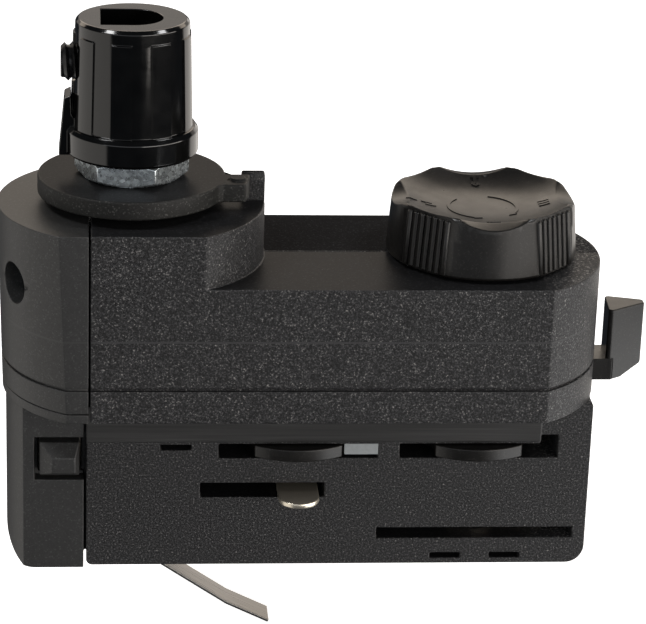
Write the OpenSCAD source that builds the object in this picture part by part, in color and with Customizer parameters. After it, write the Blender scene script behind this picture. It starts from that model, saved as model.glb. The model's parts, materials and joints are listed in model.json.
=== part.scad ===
// Track light adapter with a swivel cord grip, a circuit selector knob and a locking lever.
// The swivel axis is the Z axis, and Z = 0 is the underside of the flange, which seats on the track.
// The insert that enters the track hangs below Z = 0, and the lamp side points up.

/* [Housing] */
// Width of the housing across its flat sides
housing_w = 35; // [34:0.5:37]
// Radius of the round ends of the housing
end_r = 20.7; // [20.2:0.1:21.5]
// Distance from the lever axis back to the centre of the far round end
end_setback = 1.8; // [0.6:0.1:2.4]
// Height of the deck above the track seat
deck_z = 22; // [20:0.5:25]
// Height of the swivel turret above the track seat
turret_z = 30.4; // [29:0.2:34]
// Wall thickness of the moulded shells
wall = 1.6; // [1.4:0.1:1.8]
// Thickness of the deck and of the turret roof
roof = 2.2; // [1.6:0.1:2.6]
// Height of the moulded groove that runs round the housing
groove_z = 5.6; // [4:0.2:9]
// Width and depth of the moulded groove
groove_size = 0.45; // [0.3:0.05:0.6]

/* [Track insert] */
// Width of the insert
insert_w = 20.4; // [20:0.1:21]
// Depth of the insert below the track seat
insert_depth = 27.5; // [26.5:0.1:29]
// Left end of the insert, measured from the swivel axis
insert_left_x = -6.9; // [-7.5:0.1:-6]
// How far the insert reaches past the lever axis
insert_overhang = 17.9; // [17.2:0.1:18.6]
// Corner radius at the bottom of the insert's right end
insert_corner_r = 3; // [1.5:0.5:5]
// How far the guide rib under the flange stands proud of the insert
rib_proud = 0.5; // [0.3:0.1:0.8]
// Height of the guide rib
rib_h = 6.1; // [5:0.1:6.3]
// How far the guide rib reaches past the lever axis
rib_overhang = 9.8; // [3:0.2:12]

/* [End cover and end block] */
// Seam between the housing and its end cover
cover_x = -6.3; // [-7:0.1:-5.8]
// Height of the end cover's lower edge
cover_z = 1.5; // [1.2:0.1:2]
// Radius of the end cover's round end at its foot
cover_foot_r = 20.1; // [19.8:0.1:20.2]
// Radius of the end block's round end
block_end_r = 19.6; // [19.2:0.1:20]
// Depth of the end block below the track seat
block_depth = 27.9; // [27:0.1:30]
// Corner radius at the bottom of the end block
block_corner_r = 4.7; // [2:0.1:6]
// Height of the cover screw's axis
cover_screw_z = 20.2; // [18:0.2:20.6]
// Angle of the cover screw's axis from the length of the housing
cover_screw_angle = 28; // [20:1:34]
// Diameter of the screwdriver hole
driver_hole_d = 6.5; // [6:0.1:7]
// Diameter of the cover screw's shank
cover_screw_d = 3; // [2.5:0.1:3.5]

/* [Snap latch] */
// Width of the latch wedge along the housing
latch_w = 6.2; // [5:0.1:7]
// Height of the latch wedge
latch_h = 5.6; // [4.6:0.1:6.4]
// Centre of the latch wedge below the track seat
latch_drop = 9; // [8:0.1:11]
// How far the latch wedge stands out of the end block
latch_proud = 1.8; // [1:0.1:2.2]
// Travel of the latch wedge
latch_travel = 1.6; // [0.8:0.1:1.8]
// Outer diameter of the latch spring
latch_spring_d = 3.4; // [2.8:0.1:4]

/* [Swivel] */
// Radius of the swivel disc
disc_r = 14.5; // [13.5:0.1:15.5]
// Thickness of the swivel disc
disc_t = 2.9; // [2.4:0.1:3.4]
// Height of the swivel disc's boss above the turret
disc_boss_h = 1.3; // [1:0.1:1.8]
// Outer diameter of the threaded nipple
nipple_d = 10; // [9.5:0.1:10.5]
// Diameter of the cable bore through the nipple
cable_d = 7.5; // [6:0.1:8]
// Distance across the flats of the hexagon nuts
nut_flats = 15.4; // [14:0.1:16]
// Thickness of the hexagon nut above the disc
nut_t = 3.6; // [3:0.1:4.2]
// Width of the stop lug on the swivel disc
lug_w = 5.4; // [4:0.1:6]
// Radius to the end of the stop lug
lug_r = 18.3; // [17.8:0.1:18.8]
// Fillet between the swivel disc and the stop lug
lug_fillet_r = 2.5; // [1.5:0.1:3]
// Width of the stop post on the turret
post_w = 2.4; // [1.8:0.1:3]

/* [Cord grip] */
// Height of the cord grip
grip_h = 21.2; // [19:0.1:24]
// Radius of the cord grip's top
grip_top_r = 8.7; // [8.4:0.1:9.2]
// Radius of the cord grip's barrel at its foot
grip_foot_r = 9.15; // [8.9:0.05:9.6]
// Radius of the collar
collar_r = 10.2; // [9.9:0.1:11]
// Height of the collar
collar_h = 4.5; // [3.5:0.1:6]
// Number of raised panels round the barrel
panel_count = 9; // [7:1:12]
// Angle at which the first raised panel starts
panel_turn = 8.5; // [0:0.5:20]
// How far the panels stand proud of the barrel
panel_proud = 0.28; // [0.2:0.02:0.4]
// Half width of the cord hole
cord_half_w = 4.6; // [4.2:0.1:4.8]
// Diameter of the clamp screw
clamp_d = 6; // [5:0.1:6.4]
// How far the clamp screw stands out of the barrel
clamp_proud = 2; // [1.5:0.1:3]
// Travel of the clamp screw
clamp_travel = 1.6; // [0.8:0.1:2]

/* [Selector] */
// Distance from the swivel axis to the selector and lever axis
lever_x = 55; // [54.6:0.1:55.4]
// Outer radius of the knob at its foot
knob_r = 15; // [14.6:0.1:15.6]
// How far the knob draws in from its foot to its rim
knob_draft = 0.7; // [0.4:0.1:1]
// Height of the knob
knob_h = 9.6; // [8.6:0.1:10.4]
// Depth of the dish in the knob's top
dish_depth = 2.7; // [2.2:0.1:3]
// Distance of the ribbed flats from the knob's axis at the rim
flat_r = 13.4; // [13:0.1:13.7]
// Slope of the ribbed flats
flat_tilt = 6; // [4:0.5:8]
// How far the knob's rim dips between the ribbed flats
rim_dip = 1.4; // [0.8:0.1:1.8]
// Slope of the rim's dips, down and outwards
dip_slope = 10; // [4:1:14]
// Number of grip ribs on each flat of the knob
flat_ribs = 7; // [5:1:7]
// Radius of the grip ribs
flat_rib_r = 0.5; // [0.4:0.05:0.55]
// Diameter of the selector shaft
shaft_d = 8; // [7:0.1:8.4]
// Reach of the circuit contacts from the selector axis
contact_reach = 15.5; // [14:0.1:15.5]

/* [Locking lever] */
// Distance between the lever axis and the neutral rotor's axis
axis_distance = 28.6; // [28.2:0.1:29]
// Number of teeth of a full wheel
wheel_teeth = 20; // [18:1:24]
// Thickness of the toothed wheels and of the lever arm
wheel_t = 3.7; // [3:0.1:3.8]
// Width of the lever arm
arm_w = 6; // [4:0.1:6.4]
// Radius to the inside of the lever's finger tab
finger_r = 20.4; // [20.3:0.1:21]
// Height of the lever's finger tab
finger_h = 12; // [10:0.2:14]
// Reach of the lever's finger tab outside its inner face
finger_reach = 6.6; // [5:0.1:8]
// Radius of the lock cams
cam_r = 12.3; // [11.6:0.1:12.5]
// Width of the lock cams' tips
cam_flats = 13.9; // [13:0.1:15]
// Diameter of the lever's hub
hub_d = 14; // [12.5:0.1:14.4]
// Diameter of the neutral rotor's shaft
rotor_d = 9; // [8:0.1:10]
// Reach of the neutral contact from its axis
neutral_reach = 16.5; // [15.5:0.1:16.5]

/* [Contacts] */
// Width of the contact tongues
tongue_w = 6.4; // [5.8:0.1:7.2]
// Thickness of the contact tongues
tongue_t = 0.8; // [0.6:0.1:1]
// Width of the ring that fixes a contact tongue to its shaft
contact_ring_w = 2; // [1.5:0.1:2.2]
// Height of the contact slots
slot_h = 2.4; // [2:0.1:2.6]
// Height of the lower conductor's slots
low_slot_h = 1.8; // [1.6:0.1:2.2]
// Depth of the upper conductor's slots below the track seat
mid_slot_drop = 14.5; // [14:0.1:15.5]
// Height of the lower conductor's slots above the bottom of the insert
low_slot_lift = 5.4; // [4.9:0.1:6]
// Depth of the lock cam slots below the track seat
cam_slot_drop = 7.8; // [7.6:0.1:8.4]

/* [Earth spring] */
// Width of the earth spring
earth_w = 5; // [4:0.1:6]
// Thickness of the earth spring
earth_t = 0.5; // [0.4:0.05:0.6]
// Length of the earth spring from its root to its bend
earth_leaf = 20.5; // [16:0.2:23]
// Length of the earth spring's tip after the bend
earth_tip = 7.7; // [5:0.2:9]
// Angle of the earth spring below the insert
earth_angle = 34; // [32:1:38]
// Angle of the earth spring's tip below the insert
earth_tip_angle = 26; // [25:1:30]
// Angle that the earth spring folds up by as it enters the track
earth_flex = 24; // [15:1:24]

/* [Clearances] */
// Gap between pieces that move past each other
gap = 0.3; // [0.2:0.05:0.35]
// Radial running clearance of shafts
run = 0.05; // [0.03:0.01:0.08]
// Seam between the moulded shells
seam = 0.3; // [0.2:0.05:0.4]

/* [Hidden] */
$fn = 72;
far = 200;
half_w = housing_w / 2;
half_insert = insert_w / 2;
block_gap = 0.4;
block_right_x = insert_left_x - block_gap;
end_centre_x = lever_x - end_setback;
insert_right_x = lever_x + insert_overhang;
rib_right_x = lever_x + rib_overhang;
neutral_x = lever_x - axis_distance;

// Levels of the lever chamber, from its floor up to the web above it
chamber_floor = 1;
wheel_z = chamber_floor + gap;
chamber_roof = wheel_z + wheel_t + gap;
web_top = chamber_roof + wall;

// Toothed wheels that link the lever and the neutral rotor
pitch_r = axis_distance / 2;
wheel_module = 2 * pitch_r / wheel_teeth;
pressure_angle = 20;
tooth_addendum = 0.7;
tooth_dedendum = 0.9;
tooth_tip_r = pitch_r + tooth_addendum * wheel_module;
tooth_root_r = pitch_r - tooth_dedendum * wheel_module;
tooth_slack = 0.3;
tooth_pitch = 360 / wheel_teeth;

// Levels of the slots and of what turns in them
cam_gap = gap / 2;
cam_body_r = half_insert - 0.5;
cam_t = slot_h - 2 * cam_gap;
cam_bottom = -cam_slot_drop - cam_t / 2;
cam_top = -cam_slot_drop + cam_t / 2;
cam_slot_half = cam_r + gap;
cam_slot_step = 1.5;
low_slot_drop = insert_depth - low_slot_lift;
low_slot_half = contact_reach + gap;
shaft_foot = 2;
rotor_bottom = -mid_slot_drop - slot_h / 2 - shaft_foot;
selector_bottom = -low_slot_drop - low_slot_h / 2 - shaft_foot;
rotor_hub_d = 12;
mid_slot_lap = 1.1;
mid_slot_right = neutral_x + tongue_w / 2 + mid_slot_lap;
rotor_ring_room = rotor_d / 2 + contact_ring_w + gap;
shaft_ring_room = shaft_d / 2 + contact_ring_w + gap;

// Levels of the swivel stack
disc_lift = 0.2;
disc_boss_r = 11;
post_lap = 1.2;
lug_pin_r = 1.3;
lug_pin_h = 0.4;
lug_pin_x = lug_r - 2;
disc_boss_z = turret_z + disc_lift;
disc_z = disc_boss_z + disc_boss_h;
disc_top = disc_z + disc_t;
grip_z = disc_top + nut_t;
grip_top = grip_z + grip_h;
nipple_above_collar = 3;
grip_seat = grip_z + collar_h + nipple_above_collar;
washer_top = turret_z - roof - gap;
washer_t = 0.8;
washer_r = 9;
locknut_t = 3.2;
nipple_end = 0.4;
nipple_bottom = washer_top - washer_t - locknut_t - nipple_end;
clamp_drop = 7;
clamp_z = grip_top - clamp_drop;
cord_flat_x = -4.85;

// Knob
knob_lift = 0.4;
knob_bore = 4;
knob_z = deck_z + knob_lift;
knob_top = knob_z + knob_h;
knob_bore_top = knob_z + knob_bore;
rim_r = knob_r - knob_draft - 0.5;

// Cover screw, along its own axis from the swivel axis outwards
screw_head_d = 5.4;
screw_head_t = 2;
screw_seat_r = 14.6;
screw_tip_r = 4.2;
screw_post_w = 5.6;
screw_post_l = 5.2;
screw_boss_t = 1.6;
screw_boss_d = driver_hole_d + 2.4;
screw_cross = [3.2, 0.8, 2];

// Wire terminals, which stand on the end block inside the cover
terminal_low = [-15.5, -8.4, cover_z];
terminal_high = [-8, 8.4, 12.5];
terminal_count = 4;
terminal_step = (terminal_high[1] - terminal_low[1]) / terminal_count;
terminal_screw_x = -12;
terminal_screw_r = 1.5;
terminal_screw_h = 4.4;
terminal_screw_z = terminal_high[2] - 5;
terminal_wire_r = 1.4;
terminal_wire_z = 5;
terminal_wire_end = -11;

// Earth spring
earth_roll_r = 0.6;
earth_sunk = 0.7;
earth_root = [-1, -insert_depth + earth_sunk];
earth_folded = earth_angle - earth_flex;
earth_channel = (earth_sunk + earth_t / 2 / cos(earth_folded) + gap) / tan(earth_folded);

// Lips of the housing that lap inside the end cover, and the tenon that sets the end block in the insert
lip_l = 1.8;
lip_t = 1.1;
lip_top = turret_z - roof - gap;
tenon_l = 1.4;
tenon_w = 14;
tenon_low = -insert_depth + 1.2;
tenon_high = -0.7;

// Latch
latch_frame = 0.7;
latch_mouth = 0.8;
latch_mouth_depth = 2.5;
latch_x = block_right_x - latch_frame - latch_w / 2;
latch_inner_y = 2;
latch_pocket_depth = 5.5;
latch_spring_wire = 0.5;
latch_spring_turns = 6;
latch_nose_w = latch_w - 2.6;
latch_nose_h = latch_h - 3;
latch_nose_shift = [0.7, -0.5];

// Snap hooks that hold the two halves together
snap_window = [4.9, 8, 0.9];
snap_low_z = -insert_depth + 1.4;
snap_places = [[lever_x - 4.6, snap_low_z], [lever_x + 5, snap_low_z], [7.1, -rib_h - 1.1]];

grain_black = [0.13, 0.13, 0.14];
smooth_black = [0.16, 0.16, 0.17];
gloss_black = [0.06, 0.06, 0.06];
zinc = [0.66, 0.70, 0.74];
steel = [0.70, 0.70, 0.70];
tin = [0.78, 0.74, 0.66];

// Plan of the whole housing: two round ends cut by flat sides
module plan(inset = 0) {
    intersection() {
        translate([-far / 2, -half_w + inset]) square([2 * far, housing_w - 2 * inset]);
        union() {
            circle(r = end_r - inset);
            translate([0, inset - end_r]) square([end_centre_x, 2 * (end_r - inset)]);
            translate([end_centre_x, 0]) circle(r = end_r - inset);
        }
    }
}

// Plan of the turret, the round end that carries the swivel
module turret_plan(inset = 0) {
    intersection() {
        circle(r = end_r - inset);
        square([2 * far, housing_w - 2 * inset], center = true);
    }
}

// A block between two corners
module block(low, high) {
    translate(low) cube(high - low);
}

// A round bar along Z at a place in plan
module bar(x, r, low, high) {
    translate([x, 0, low]) cylinder(r = r, h = high - low);
}

// What a corner loses when it is rounded
module corner(r) {
    difference() {
        translate([-1, -1]) square(r + 1);
        translate([r, r]) circle(r = r);
    }
}

// A profile in X and Z drawn across the width
module across(width) {
    rotate([90, 0, 0]) linear_extrude(width, center = true) children();
}

// Radius of the end cover's round end at a height, and its form, which draws in towards the foot
function cover_r(z) = cover_foot_r + (end_r - cover_foot_r) * z / turret_z;

module cover_form(inset = 0) {
    intersection() {
        cylinder(r1 = cover_foot_r - inset, r2 = end_r - inset, h = turret_z);
        block([-far, inset - half_w, -1], [far, half_w - inset, far]);
    }
}

// The groove that runs round the housing and its end cover
module groove_ring() {
    translate([0, 0, groove_z - groove_size / 2]) linear_extrude(groove_size) difference() {
        plan(-1);
        intersection() {
            plan(groove_size);
            union() {
                circle(r = cover_r(groove_z) - groove_size);
                translate([0, -far / 2]) square(far);
            }
        }
    }
}

// The insert that enters the track
module insert_block() {
    across(insert_w) difference() {
        translate([insert_left_x, -insert_depth]) square([insert_right_x - insert_left_x, insert_depth]);
        translate([insert_right_x, -insert_depth]) mirror([1, 0]) corner(insert_corner_r);
        translate([insert_left_x, -insert_depth]) corner(1);
    }
}

// Hollow spaces inside the housing halves
module housing_hollows() {
    // Wiring space under the deck and in the turret
    intersection() {
        block([cover_x - 1, -far, web_top], [far, far, turret_z - roof]);
        union() {
            linear_extrude(deck_z - roof) plan(wall);
            linear_extrude(turret_z) turret_plan(wall);
        }
    }
    // Lever chamber
    intersection() {
        block([neutral_x - tooth_tip_r - gap, -far, chamber_floor], [far, far, chamber_roof]);
        linear_extrude(far) plan(wall);
    }
    // Way out of the lever arm, from the end of the housing round to its back
    block([lever_x - arm_w / 2 - gap, -arm_w / 2 - gap, chamber_floor], [far, far, chamber_roof]);
}

// Slots that the lock cams and the contacts swing through
module insert_slots() {
    for (x = [neutral_x, lever_x])
        block([x - cam_slot_half, -far, -cam_slot_drop - slot_h / 2],
              [x + cam_slot_half, far, -cam_slot_drop + slot_h / 2]);
    // Higher end of the lever's cam slot, past the guide rib
    block([rib_right_x, -far, -cam_slot_drop],
          [lever_x + cam_slot_half, far, -cam_slot_drop + slot_h / 2 + cam_slot_step]);
    // Neutral contact, on the front
    block([neutral_x - neutral_reach - gap, -half_insert + wall, -mid_slot_drop - slot_h / 2],
          [mid_slot_right, rotor_ring_room, -mid_slot_drop + slot_h / 2]);
    bar(neutral_x, rotor_ring_room, -mid_slot_drop - slot_h / 2, -mid_slot_drop + slot_h / 2);
    block([neutral_x - neutral_reach + mid_slot_lap, -far, -mid_slot_drop - slot_h / 2],
          [mid_slot_right, 0, -mid_slot_drop + slot_h / 2]);
    // Upper circuit contact, on the back
    block([lever_x - low_slot_half, -shaft_ring_room, -mid_slot_drop - slot_h / 2],
          [lever_x + low_slot_half, far, -mid_slot_drop + slot_h / 2]);
    // Lower circuit contact, on both sides
    block([lever_x - low_slot_half, -far, -low_slot_drop - low_slot_h / 2],
          [lever_x + low_slot_half, far, -low_slot_drop + low_slot_h / 2]);
}

// Windows of the snap hooks that hold the two halves together
module snap_windows() {
    for (place = snap_places)
        for (side = [-1, 1])
            translate([place[0], side * half_insert, place[1]]) cube(snap_window, center = true);
}

// Bores that carry the turning pieces
module housing_bores() {
    bar(0, nipple_d / 2 + run, turret_z - roof - 1, turret_z + 1);
    bar(lever_x, shaft_d / 2 + run, selector_bottom - gap, deck_z + 1);
    bar(lever_x, hub_d / 2 + run, -cam_slot_drop, chamber_roof);
    bar(neutral_x, rotor_hub_d / 2 + run, -cam_slot_drop, chamber_roof);
    bar(neutral_x, rotor_d / 2 + run, rotor_bottom - gap, 0);
}

// Channel in the insert's bottom for the root of the earth spring, long enough to fold the leaf into
module earth_recess() {
    root_room = earth_roll_r + gap;
    block([earth_root[0] - root_room, -earth_w / 2 - gap, -insert_depth - 1],
          [earth_root[0] + earth_channel, earth_w / 2 + gap, earth_root[1] + root_room]);
}

// The post that the cover screw bites into
module screw_post() {
    block([cover_x, -screw_post_w - gap, web_top - wall / 2],
          [cover_x + screw_post_l, -gap, cover_screw_z + cover_screw_d * 0.8]);
}

// Something set along the cover screw's axis, which points outwards from the swivel axis
module along_screw() {
    translate([0, 0, cover_screw_z]) rotate([0, 0, 180 + cover_screw_angle])
        rotate([0, 90, 0]) children();
}

// Lips that lap inside the side walls of the end cover
module cover_lips() {
    lip_y = half_w - wall - seam / 2;
    for (side = [0, 1]) mirror([0, side, 0]) {
        block([cover_x - lip_l, -lip_y, web_top], [cover_x + lip_l / 2, lip_t - lip_y, lip_top]);
        block([cover_x, wall / 2 - half_w, web_top - wall / 2],
              [cover_x + lip_l, lip_t - lip_y, turret_z - roof / 2]);
    }
}

// What the insert loses to the end block's tenon
module tenon_room() {
    block([insert_left_x - 1, -tenon_w / 2 - seam / 2, tenon_low - seam / 2],
          [insert_left_x + tenon_l + seam, tenon_w / 2 + seam / 2, tenon_high + seam / 2]);
}

// Both halves of the housing as one piece
module housing_body() {
    cover_lips();
    difference() {
        union() {
            difference() {
                union() {
                    linear_extrude(deck_z) plan();
                    linear_extrude(turret_z) turret_plan();
                }
                block([-far, -far, -1], [cover_x, far, far]);
                groove_ring();
            }
            insert_block();
            block([insert_left_x, -half_insert - rib_proud, -rib_h],
                  [rib_right_x, half_insert + rib_proud, 0]);
        }
        housing_hollows();
        insert_slots();
        snap_windows();
        housing_bores();
        earth_recess();
        tenon_room();
    }
}

// Front half shell
module housing_front() {
    color(grain_black) {
        difference() {
            union() {
                intersection() {
                    housing_body();
                    block([-far, -far, -far], [far, 0, far]);
                }
                screw_post();
            }
            along_screw() cylinder(d = cover_screw_d, h = far);
        }
    }
}

// The stop post of the swivel, a tongue with a round top
module stop_post() {
    round_r = post_w / 2;
    block([lug_r - post_lap, 0, turret_z], [far, post_w, disc_top - round_r]);
    translate([lug_r - post_lap, round_r, disc_top - round_r]) rotate([0, 90, 0])
        cylinder(r = round_r, h = far);
}

// Back half shell, with the stop post of the swivel on its turret
module housing_back() {
    color(grain_black) {
        intersection() {
            housing_body();
            block([-far, 0, -far], [far, far, far]);
        }
        intersection() {
            linear_extrude(far) turret_plan();
            stop_post();
        }
    }
}

// Removable cover over the wiring space at the swivel end
module end_cover() {
    color(smooth_black) difference() {
        union() {
            difference() {
                cover_form();
                intersection() {
                    cover_form(wall);
                    block([-far, -far, -1], [far, far, turret_z - roof]);
                }
            }
            // Boss round the cover screw
            intersection() {
                along_screw() translate([0, 0, screw_seat_r - screw_boss_t])
                    cylinder(d = screw_boss_d, h = far);
                cover_form();
            }
        }
        block([cover_x - seam, -far, -1], [far, far, far]);
        block([-far, -far, -1], [far, far, cover_z + seam / 3]);
        groove_ring();
        along_screw() translate([0, 0, screw_seat_r]) cylinder(d = driver_hole_d, h = far);
        along_screw() cylinder(d = cover_screw_d + gap, h = far);
    }
}

// End block of the insert: flange band under the cover, guide of the snap latch with a wider mouth on
// each side, and the tenon, which closes the middle of the guide
module end_block() {
    guide_low = [latch_x - latch_w / 2 - gap, -far, -latch_drop - latch_h / 2 - gap];
    guide_high = [latch_x + latch_w / 2 + gap, far, -latch_drop + latch_h / 2 + gap];
    mouth = latch_mouth - gap;
    color(smooth_black) difference() {
        union() {
            difference() {
                union() {
                    intersection() {
                        bar(0, cover_foot_r, 0, cover_z);
                        block([-far, -half_w, -1], [cover_x - seam, half_w, far]);
                    }
                    intersection() {
                        bar(0, block_end_r, -block_depth, 0);
                        across(insert_w) difference() {
                            translate([-block_end_r, -block_depth])
                                square([block_end_r + block_right_x, block_depth]);
                            translate([-block_end_r, -block_depth]) corner(block_corner_r);
                        }
                    }
                }
                block(guide_low, [0, far, guide_high[2]]);
                for (side = [0, 1]) mirror([0, side, 0])
                    block([guide_low[0] - mouth, -far, guide_low[2] - mouth],
                          [0, latch_mouth_depth - half_insert, guide_high[2] + mouth]);
            }
            block([latch_x, -tenon_w / 2, tenon_low], [insert_left_x + tenon_l, tenon_w / 2, tenon_high]);
        }
        block(guide_low, guide_high);
    }
}

// Screw that holds the end cover, sunk in the driver hole
module cover_screw() {
    color(zinc) along_screw() difference() {
        union() {
            translate([0, 0, screw_tip_r]) cylinder(d = cover_screw_d, h = screw_seat_r - screw_tip_r);
            translate([0, 0, screw_seat_r]) cylinder(d = screw_head_d, h = screw_head_t);
        }
        for (turn = [0, 90])
            rotate([0, 0, turn]) translate([0, 0, screw_seat_r + screw_head_t])
                cube(screw_cross, center = true);
    }
}

// Wire terminals that stand on the end block inside the cover
function terminal_y(i) = terminal_low[1] + (i + 0.5) * terminal_step;

module terminal_block() {
    color([0.85, 0.85, 0.82]) difference() {
        block(terminal_low, terminal_high);
        for (i = [0 : terminal_count - 1]) {
            translate([terminal_screw_x, terminal_y(i), terminal_screw_z])
                cylinder(r = terminal_screw_r, h = far);
            translate([0, terminal_y(i), terminal_wire_z]) rotate([0, -90, 0])
                cylinder(r = terminal_wire_r, h = -terminal_wire_end);
        }
    }
}

module terminal_screws() {
    color(steel) for (i = [0 : terminal_count - 1])
        translate([terminal_screw_x, terminal_y(i), terminal_screw_z]) difference() {
            cylinder(r = terminal_screw_r, h = terminal_screw_h);
            translate([0, 0, terminal_screw_h]) cube([4, 0.5, 1.2], center = true);
        }
}

// Pale plate at the end of the neutral rotor's cam slot
module wear_plate() {
    plate_lift = 0.6;
    color(steel) block([neutral_x + cam_flats / 2 + gap, -half_insert + 0.1,
                        -cam_slot_drop - slot_h / 2 + plate_lift],
                       [neutral_x + cam_slot_half, -half_insert + 0.9, -cam_slot_drop + slot_h / 2]);
}

// One spring latch wedge, drawn for the front
module latch_wedge() {
    foot = [-latch_w / 2, -half_insert, -latch_h / 2];
    nose = [latch_nose_shift[0] - latch_nose_w / 2, -half_insert - latch_proud,
            latch_nose_shift[1] - latch_nose_h / 2];
    color(smooth_black) translate([latch_x, 0, -latch_drop]) difference() {
        union() {
            translate(foot) cube([latch_w, half_insert - latch_inner_y, latch_h]);
            hull() {
                translate(foot) cube([latch_w, 0.01, latch_h]);
                translate(nose) cube([latch_nose_w, 0.01, latch_nose_h]);
            }
        }
        translate([0, -latch_inner_y + 1, 0]) rotate([90, 0, 0])
            cylinder(d = latch_spring_d + 2 * gap, h = latch_pocket_depth + 1);
    }
}

module latch_wedge_front() latch_wedge();

module latch_wedge_back() mirror([0, 1, 0]) latch_wedge();

// Coil spring between the two latch wedges
module latch_spring() {
    coil_r = (latch_spring_d - latch_spring_wire) / 2;
    reach = latch_inner_y + latch_pocket_depth - latch_travel - gap;
    sides = 6;
    steps = latch_spring_turns * 10;
    function coil_point(i, k) =
        let (turn = 360 * latch_spring_turns * i / steps,
             y = -reach + 2 * reach * i / steps,
             r = coil_r + latch_spring_wire / 2 * cos(360 * k / sides))
        [latch_x + r * cos(turn), y + latch_spring_wire / 2 * sin(360 * k / sides),
         -latch_drop + r * sin(turn)];
    rings = [for (i = [0 : steps]) for (k = [0 : sides - 1]) coil_point(i, k)];
    skin = [for (i = [0 : steps - 1]) for (k = [0 : sides - 1]) for (half = [0, 1])
        let (a = i * sides + k, b = i * sides + (k + 1) % sides)
        half == 0 ? [a, b, b + sides] : [a, b + sides, a + sides]];
    ends = [[for (k = [sides - 1 : -1 : 0]) k], [for (k = [0 : sides - 1]) steps * sides + k]];
    color(steel) polyhedron(rings, concat(skin, ends));
}

// Swivel disc with its stop lug
module swivel_disc() {
    lug_side = -gap - lug_w;
    lap = 0.1;
    fillet_y = lug_side - lug_fillet_r + lap;
    fillet_x = sqrt(pow(disc_r + lug_fillet_r - lap, 2) - pow(fillet_y, 2));
    color(smooth_black) difference() {
        union() {
            bar(0, disc_r, disc_z, disc_top);
            bar(0, disc_boss_r, disc_boss_z, disc_z);
            intersection() {
                bar(0, lug_r, disc_z, disc_top);
                block([0, lug_side, disc_z], [far, -gap, disc_top]);
            }
            translate([0, 0, disc_z]) linear_extrude(disc_t) difference() {
                polygon([[0, lug_side], [fillet_x * 0.5, fillet_y * 0.5], [fillet_x, fillet_y],
                         [fillet_x, lug_side + 1], [0, lug_side + 1]]);
                translate([fillet_x, fillet_y]) circle(r = lug_fillet_r);
            }
            translate([0, lug_side + lug_w / 2, 0]) bar(lug_pin_x, lug_pin_r, disc_z, disc_top + lug_pin_h);
        }
        bar(0, nipple_d / 2, 0, far);
    }
}

// Threaded tube that the swivel turns on
module swivel_nipple() {
    color(zinc) difference() {
        bar(0, nipple_d / 2, nipple_bottom, grip_seat);
        bar(0, cable_d / 2, 0, far);
    }
}

// A hexagon nut with chamfered corners
module hex_nut(low, t, turn = 0) {
    corner_r = nut_flats / 2 / cos(30);
    color(zinc) difference() {
        intersection() {
            translate([0, 0, low]) rotate([0, 0, turn]) cylinder(r = corner_r, h = t, $fn = 6);
            translate([0, 0, low]) rotate_extrude()
                polygon([[0, 0], [nut_flats / 2 - 0.2, 0], [corner_r, 0.8], [corner_r, t - 0.6],
                         [nut_flats / 2, t], [0, t]]);
        }
        bar(0, nipple_d / 2, 0, far);
    }
}

module swivel_nut() hex_nut(disc_top, nut_t, -7);

module nipple_locknut() hex_nut(washer_top - washer_t - locknut_t, locknut_t);

// Washer under the turret roof
module spring_washer() {
    color(steel) difference() {
        bar(0, washer_r, washer_top - washer_t, washer_top);
        bar(0, nipple_d / 2, 0, far);
    }
}

// Cord grip with its collar, raised panels, ear and D-shaped cord hole
module cord_grip() {
    barrel_z = grip_z + collar_h;
    panel_top = grip_top - 2.2;
    panel_angle = 180 / panel_count;
    ear_w = 5;
    panel_foot = barrel_z - 0.2;
    function barrel_r(z) =
        grip_foot_r + (grip_top_r - grip_foot_r) * (z - barrel_z) / (grip_top - barrel_z);
    color(gloss_black) difference() {
        union() {
            rotate_extrude() polygon([[0, grip_z], [collar_r - 0.5, grip_z], [collar_r, grip_z + 0.5],
                                      [collar_r, barrel_z - 0.7], [collar_r - 0.5, barrel_z],
                                      [grip_foot_r, barrel_z], [grip_top_r + 0.01, grip_top - 0.5],
                                      [grip_top_r - 0.5, grip_top], [0, grip_top]]);
            for (i = [0 : panel_count - 1])
                rotate([0, 0, 360 / panel_count * i + panel_turn]) rotate_extrude(angle = panel_angle)
                    polygon([[cord_half_w + 2, panel_foot], [barrel_r(barrel_z) + panel_proud, panel_foot],
                             [barrel_r(panel_top) + panel_proud, panel_top], [cord_half_w + 2, panel_top]]);
            across(ear_w) polygon([[-grip_foot_r + 1, grip_z], [-collar_r - 1, grip_z],
                                   [-collar_r - 0.15, grip_z + 9], [-grip_foot_r - 0.2, grip_z + 9.5],
                                   [-grip_foot_r - 0.1, grip_z + 6.5], [-grip_foot_r + 1, barrel_z]]);
        }
        bar(0, nipple_d / 2, 0, grip_seat);
        translate([0, 0, grip_seat - 0.5]) linear_extrude(far) union() {
            circle(r = cord_half_w);
            translate([cord_flat_x, -cord_half_w]) square([-cord_flat_x, 2 * cord_half_w]);
        }
        translate([0, 0, clamp_z]) rotate([0, -90, 0]) cylinder(d = clamp_d + 2 * run, h = far);
    }
}

// Clamp screw that presses on the cord
module clamp_screw() {
    outer_x = grip_top_r + 0.2 + clamp_proud;
    inner_x = -cord_flat_x + 0.4;
    color(gloss_black) translate([0, 0, clamp_z]) rotate([0, -90, 0]) difference() {
        translate([0, 0, inner_x]) cylinder(d = clamp_d, h = outer_x - inner_x);
        translate([0, 0, outer_x - 2]) cylinder(r = 1.7, h = 3, $fn = 6);
    }
}

// Height of the dished top of the knob at a distance from its axis
function dish_z(r) = knob_top - dish_depth + dish_depth * pow(min(1, r / rim_r), 3);

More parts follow.
